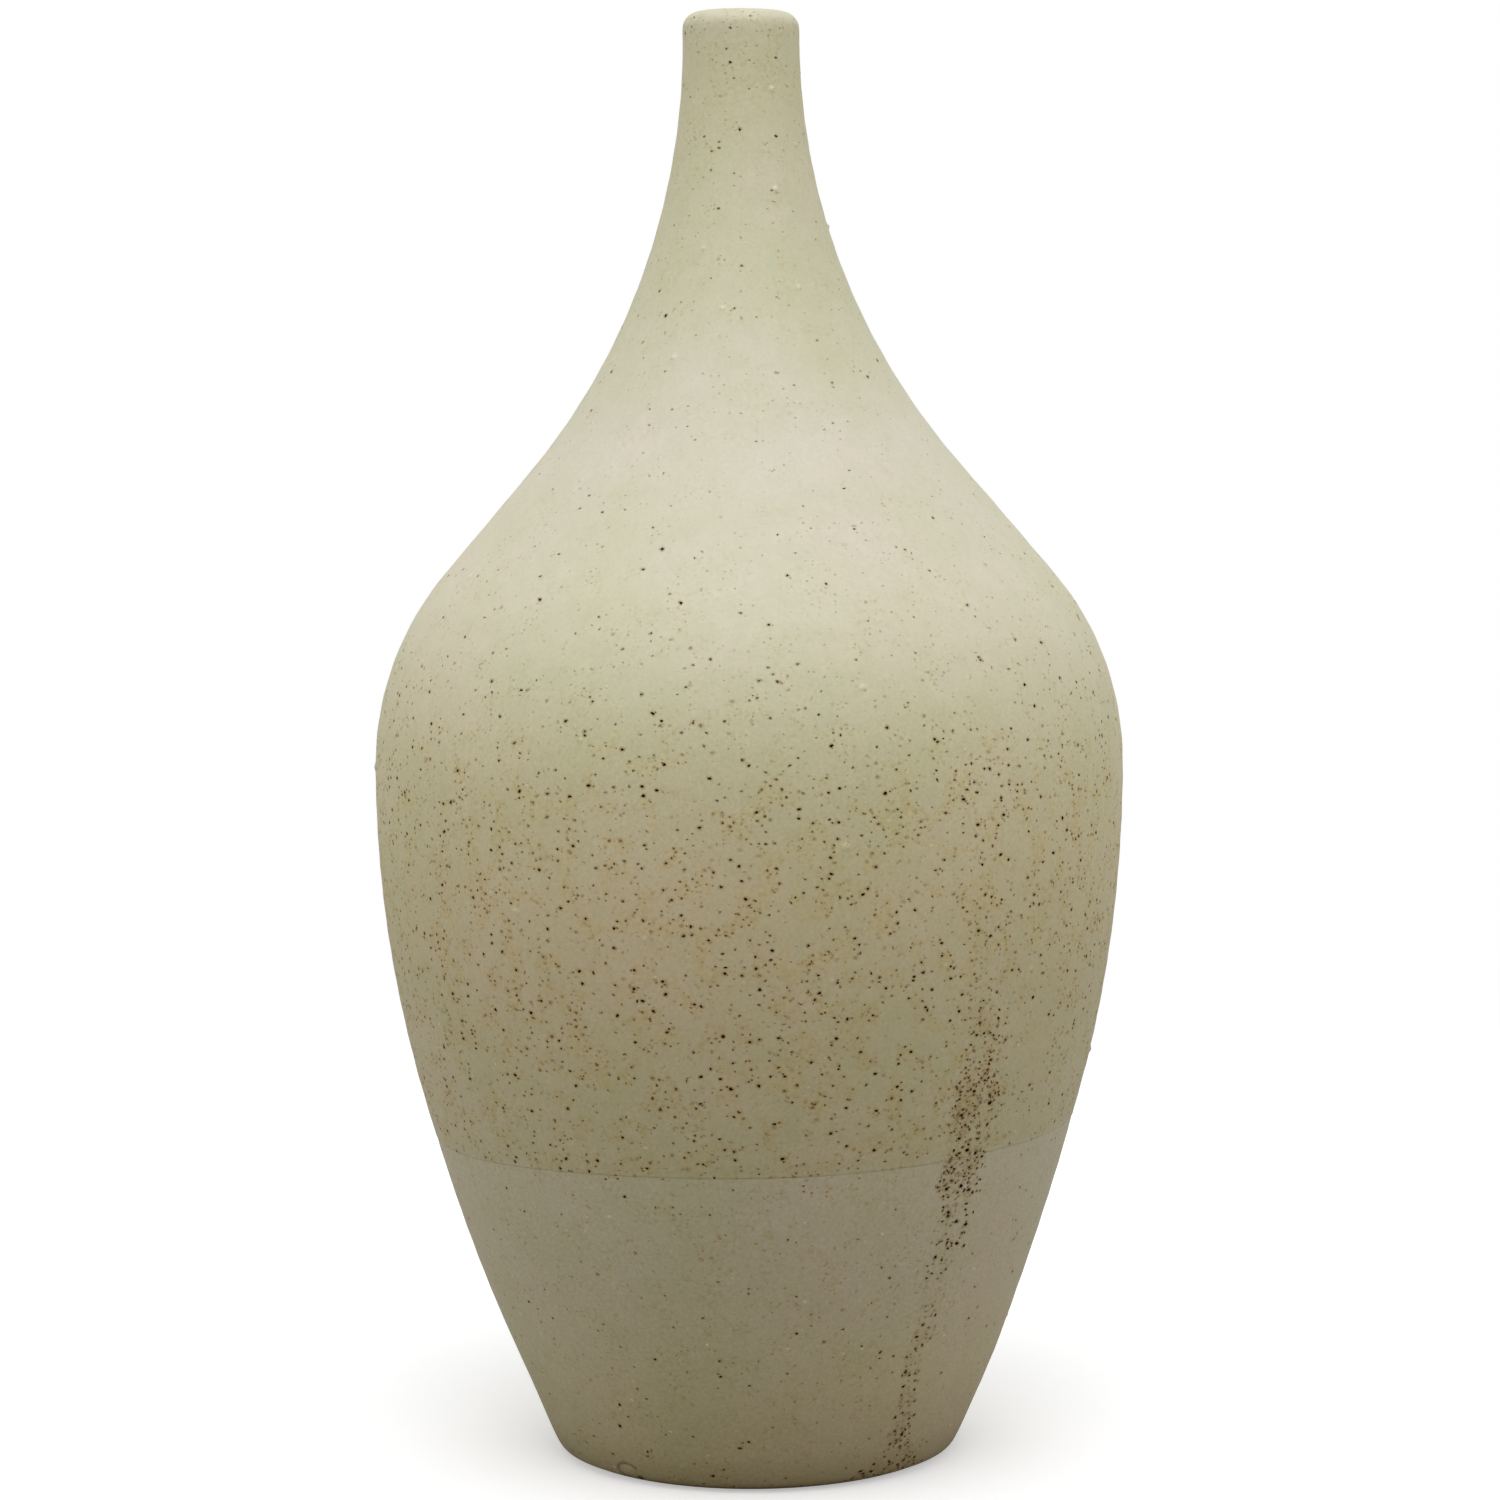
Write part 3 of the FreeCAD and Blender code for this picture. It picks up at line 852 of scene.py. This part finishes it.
def glaze_surface(name, tones, iron, rust, dust):
    """A matte glaze: mottled tones by height, iron grains, pale pips and a faint orange peel.

    iron, rust and dust say how crowded the dark, brown and faint grains are, by share of the vase's
    height. Gives the surface, and the inputs that its finish takes.
    """
    surface = Surface(name)
    colour = surface.ramp(surface.share, tones)
    flash = surface.noise(60, 1)
    clouds = surface.noise(22, 2)
    patches = surface.noise(4, 3, 0.6)
    powder = surface.math("SUBTRACT", surface.noise(0.75, 3, 0.7), 0.5)
    powder = surface.math("MULTIPLY_ADD", powder, surface.ramp(surface.share, POWDER_STRENGTH), 0.5)
    colour = surface.tint(colour, flash, *FLASH_TINTS)
    colour = surface.tint(colour, clouds, *CLOUD_TINTS)
    colour = surface.tint(colour, patches, *PATCH_TINTS)
    colour = surface.tint(colour, powder, *POWDER_TINTS)

    streak, bare = ash_streak(surface)
    gathered = crowding(surface, bare)
    iron_crowd = surface.math("MULTIPLY", gathered, surface.ramp(surface.share, iron))
    dust_crowd = surface.math("MULTIPLY", gathered, surface.ramp(surface.share, dust))
    ash_crowd = surface.math("MULTIPLY", streak, surface.fade(surface.share, SMOKE_TO, SMOKE_FROM))
    dark_crowd = surface.math("ADD", iron_crowd, ash_crowd)
    rust_share = surface.ramp(surface.share, rust)
    low_down = surface.fade(surface.share, CINDER_TO, CINDER_FROM)
    crowds = {
        "iron": dark_crowd,
        "rust": surface.math("MULTIPLY_ADD", gathered, rust_share, dark_crowd),
        "dust": dust_crowd,
        "ash": ash_crowd,
        "cinder": surface.math("MULTIPLY", streak, low_down),
        "smoke": surface.math("SUBTRACT", streak, ash_crowd),
    }
    blush = surface.fade(iron_crowd, *BLUSH_CROWDING)
    colour = surface.tint(colour, blush, UNTINTED, BLUSH_TINT)
    flecks = surface.fade(surface.noise(1.2, 2, 0.6), *FLECK_EDGE)
    flecks = surface.math("MULTIPLY", flecks, dust_crowd)
    colour = surface.tint(colour, flecks, UNTINTED, FLECK_TINT)
    stain = surface.math("MULTIPLY", streak, surface.blotches(3.5))
    colour = surface.tint(colour, stain, UNTINTED, STAIN_TINT)
    colour = surface.tint(colour, bare, UNTINTED, BARE_TINT)

    relief = surface.between(surface.noise(2.2), 0, ORANGE_PEEL_MM)
    relief = surface.math("MULTIPLY_ADD", powder, POWDER_MM, relief)
    shine = GLAZE_SHINE
    for kind in (DUST, PIPS, SMOKE, RUST, IRON, ASH, CINDER):
        core, rim = grains(surface, kind, crowds[kind.crowd])
        colour = surface.blend(surface.math("MULTIPLY", rim, kind.stain), colour, kind.rim_colour)
        colour = surface.blend(surface.math("MULTIPLY", core, kind.strength), colour, kind.colour)
        relief = surface.math("MULTIPLY_ADD", core, kind.rise_mm, relief)
        dull = surface.math("MULTIPLY_ADD", core, -kind.strength, 1.0)
        shine = surface.math("MULTIPLY", shine, dull)
    raised = surface.node("ShaderNodeAttribute", attribute_name="raised_mm").outputs["Fac"]
    on_lump = surface.fade(raised, RAISED_FROM_MM, RAISED_TO_MM)
    # Painted shade: the deeper a hollow, the darker it is painted.
    hollow_shade = surface.fade(raised, -RAISED_FROM_MM, -RAISED_TO_MM)
    colour = surface.tint(colour, on_lump, UNTINTED, RAISED_TINT)
    colour = surface.tint(colour, hollow_shade, UNTINTED, HOLLOW_SHADE_TINT)
    roughness = surface.between(patches, *GLAZE_ROUGHNESS)
    return surface, colour, roughness, relief, shine


def base_coat_surface():
    """The base coat: greyer, with fewer grains, browner towards the foot, and painted near-black along
    its bottom edge as a contact shadow.
    """
    surface, *fired = glaze_surface(
        "base_coat_glaze", BASE_TONES_AND_CONTACT_SHADOW, BASE_IRON, BASE_RUST, BASE_DUST
    )
    return surface.finish(*fired)


def upper_coat_surface():
    """The upper coat: where it thins to its edge, the cooler base coat shows through."""
    surface, colour, *fired = glaze_surface(
        "upper_coat_glaze", UPPER_TONES_AND_LIP_HIGHLIGHT, UPPER_IRON, UPPER_RUST, UPPER_DUST
    )
    climbed = surface.node("ShaderNodeAttribute", attribute_name="climbed_mm").outputs["Fac"]
    line = surface.math("MULTIPLY", surface.blotches(8), surface.fade(climbed, *EDGE_LINE_MM))
    colour = surface.tint(colour, surface.fade(climbed, *EDGE_BAND_MM), UNTINTED, EDGE_BAND_TINT)
    colour = surface.tint(colour, surface.fade(climbed, *EDGE_THIN_MM), UNTINTED, EDGE_THIN_TINT)
    colour = surface.tint(colour, line, UNTINTED, EDGE_LINE_TINT)
    return surface.finish(colour, *fired)


def clay_surface():
    """Bare fired stoneware: warm buff, gritty, with iron showing through."""
    surface = Surface("bare_stoneware")
    colour = surface.blend(surface.noise(6, 3, 0.6), CLAY_DARK, CLAY_LIGHT)
    grit = surface.noise(0.5, 3, 0.75)
    colour = surface.tint(colour, grit, *CLAY_GRIT_TINTS)
    relief = surface.math("MULTIPLY", grit, CLAY_GRIT_MM)
    core, rim = grains(surface, IRON, CLAY_IRON)
    colour = surface.blend(surface.math("MULTIPLY", rim, CLAY_RIM_STAIN), colour, IRON.rim_colour)
    colour = surface.blend(core, colour, IRON.colour)
    rings = surface.node(
        "ShaderNodeTexWave",
        {"Vector": surface.place_mm, "Scale": 0.35, "Distortion": 1.5, "Detail": 2.0},
        wave_type="RINGS",
        rings_direction="Z",
    )
    relief = surface.math("MULTIPLY_ADD", rings.outputs["Fac"], CLAY_RING_MM, relief)
    return surface.finish(colour, surface.between(grit, *CLAY_ROUGHNESS), relief, shine=0.2)


def liner_surface():
    """The satin cream glaze poured inside, pooled a little warmer in the bottom."""
    surface = Surface("satin_liner")
    colour = surface.ramp(surface.share, LINER_TONES)
    clouds = surface.noise(9, 3, 0.6)
    colour = surface.tint(colour, clouds, *LINER_CLOUD_TINTS)
    core, rim = grains(surface, RUST, LINER_RUST)
    colour = surface.blend(surface.math("MULTIPLY", rim, LINER_RIM_STAIN), colour, RUST.rim_colour)
    colour = surface.blend(surface.math("MULTIPLY", core, LINER_CORE_STAIN), colour, RUST.colour)
    relief = surface.between(surface.noise(3), 0, LINER_RIPPLE_MM)
    return surface.finish(colour, surface.between(clouds, *LINER_ROUGHNESS), relief, shine=0.5)


# ---------------------------------------------------------------- the four pieces

def finish_piece(piece, node, material):
    """Gives a finished piece its finish, attaches it to the body and hides its CAD node."""
    piece.data.materials.append(material)
    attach(piece, "root")
    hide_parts(node)


def build_pieces():
    """Builds the clay, the liner and both outer coats in place of their CAD nodes."""
    clay = turned_piece(
        "clay_body", half_section("stoneware_body"), False, HIDDEN_SEGMENTS, HIDDEN_ROW_STEP
    )
    finish_piece(clay, "stoneware_body", clay_surface())

    liner = turned_piece(
        "liner_coat", half_section("liner_glaze"), False, HIDDEN_SEGMENTS, HIDDEN_ROW_STEP
    )
    finish_piece(liner, "liner_glaze", liner_surface())

    base = turned_piece(
        "base_coat", half_section("base_glaze"), True, SEGMENTS, HIDDEN_ROW_STEP
    )
    features = scattered_lumps(base, BASE_LUMPS, seed=21)
    features.append(Feature(
        on_outside(base, BLISTER_ANGLE, BLISTER_HEIGHT),
        BLISTER_REACH * BLISTER_RADIUS,
        blister(BLISTER_RADIUS, BLISTER_RISE),
    ))
    features.append(Feature(
        on_outside(base, PINHOLE_ANGLE, PINHOLE_HEIGHT),
        LUMP_REACH * PINHOLE_RADIUS,
        lump(PINHOLE_RADIUS, -PINHOLE_DEPTH),
    ))
    raise_relief(base, features)
    finish_piece(base, "base_glaze", base_coat_surface())

    upper = upper_coat_piece()
    features = scattered_lumps(upper, UPPER_LUMPS, seed=31)
    for front_angle, share, radius in NECK_LUMPS:
        place = on_outside(upper, math.radians(front_angle), share * HEIGHT)
        rise = lump(radius, NECK_LUMP_STEEPNESS * radius)
        features.append(Feature(place, LUMP_REACH * radius, rise))
    raise_relief(upper, features)
    finish_piece(upper, "upper_glaze", upper_coat_surface())


# ---------------------------------------------------------------- floor, light and camera

def build_floor():
    """A pale floor with a soft contact shadow that fades into the white surround.

    The camera sees it almost white. To the vase it is darker in front, which keeps the foot in shade.
    """
    surface = Surface("pale_floor")
    from_camera = surface.node("ShaderNodeLightPath").outputs["Is Camera Ray"]
    grain = surface.noise(1.5, 3)
    seen = surface.tint(FLOOR_SEEN, grain, *FLOOR_GRAIN_TINTS)
    beside = surface.math("ADD", surface.y_mm, surface.math("ABSOLUTE", surface.x_mm))
    behind = surface.fade(beside, -FLOOR_BOUNCE_CHANGE_MM, FLOOR_BOUNCE_CHANGE_MM)
    bounce = surface.blend(behind, FLOOR_BOUNCE_FRONT, FLOOR_BOUNCE_BACK)
    colour = surface.blend(from_camera, bounce, seen)
    relief = surface.math("MULTIPLY", grain, FLOOR_GRAIN_MM)
    surface.finish(colour, roughness=0.9, relief_mm=relief, shine=0.0)
    glow = surface.math("MULTIPLY", from_camera, FLOOR_GLOW)
    surface.feed(surface.principled.inputs["Emission Color"], (1, 1, 1, 1))
    surface.feed(surface.principled.inputs["Emission Strength"], glow)
    clear = surface.node("ShaderNodeBsdfTransparent")
    radius = surface.vector("LENGTH", surface.place_mm)
    mix = surface.node("ShaderNodeMixShader", {
        0: surface.fade(radius, FLOOR_CLEAR_FROM / MM, FLOOR_CLEAR_TO / MM),
        1: surface.principled.outputs[0],
        2: clear.outputs[0],
    })
    surface.feed(surface.tree.nodes["Material Output"].inputs["Surface"], mix.outputs[0])

    angle = segment_angles(FLOOR_SEGMENTS)
    rim = FLOOR_CLEAR_TO * np.column_stack([np.cos(angle), np.sin(angle), 0 * angle])
    floor = make_object("floor", rim + (0, 0, cad_low.z), [tuple(range(FLOOR_SEGMENTS))])
    floor.data.materials.append(surface.material)


def light_studio():
    """Large soft lamps all round, in a surround that the camera sees as plain white."""
    world = bpy.data.worlds.new("studio")
    bpy.context.scene.world = world
    world.use_nodes = True
    tree = world.node_tree
    background = tree.nodes["Background"]
    background.inputs["Color"].default_value = (1, 1, 1, 1)
    level = tree.nodes.new("ShaderNodeMapRange")
    level.inputs["To Min"].default_value = SURROUND_LEVEL
    level.inputs["To Max"].default_value = 1.0
    rays = tree.nodes.new("ShaderNodeLightPath")
    tree.links.new(rays.outputs["Is Camera Ray"], level.inputs["Value"])
    tree.links.new(level.outputs["Result"], background.inputs["Strength"])
    for lamp in LAMPS:
        add_lamp(*lamp)


def add_lamp(name, front_angle, elevation, distance, size, power, colour):
    """A large soft lamp aimed at the middle of the vase; the camera doesn't see it."""
    light = bpy.data.lights.new(name, "AREA")
    light.shape = "DISK"
    light.size = size
    light.energy = power
    light.color = colour
    lamp = bpy.data.objects.new(name, light)
    turn, tilt = math.radians(front_angle), math.radians(elevation)
    away = Vector((
        math.sin(turn) * math.cos(tilt),
        -math.cos(turn) * math.cos(tilt),
        math.sin(tilt),
    ))
    lamp.location = away * distance * HEIGHT + Vector((0, 0, HEIGHT / 2))
    lamp.rotation_euler = away.to_track_quat("Z", "Y").to_euler()
    lamp.visible_camera = False
    bpy.context.scene.collection.objects.link(lamp)


def place_camera():
    """A camera in front of the vase at the photo's height and distance, framing lip to foot."""
    eye = Vector((0, -CAMERA_DISTANCE, CAMERA_HEIGHT))
    to_lip = math.atan2(cad_high.z - eye.z, CAMERA_DISTANCE - LIP_FRONT)
    to_foot = math.atan2(cad_low.z - eye.z, CAMERA_DISTANCE - FOOT_FRONT)
    half_view = (to_lip - to_foot) / 2
    data = bpy.data.cameras.new("camera")
    data.sensor_width = SENSOR_WIDTH_MM
    data.lens = data.sensor_width / 2 / math.tan(half_view) * FRAME_FILL
    camera = bpy.data.objects.new("camera", data)
    camera.location = eye
    camera.rotation_euler = (math.pi / 2 + (to_lip + to_foot) / 2, 0, 0)
    bpy.context.scene.collection.objects.link(camera)
    bpy.context.scene.camera = camera


bpy.context.scene.view_settings.view_transform = "Standard"
build_pieces()
build_floor()
light_studio()
place_camera()
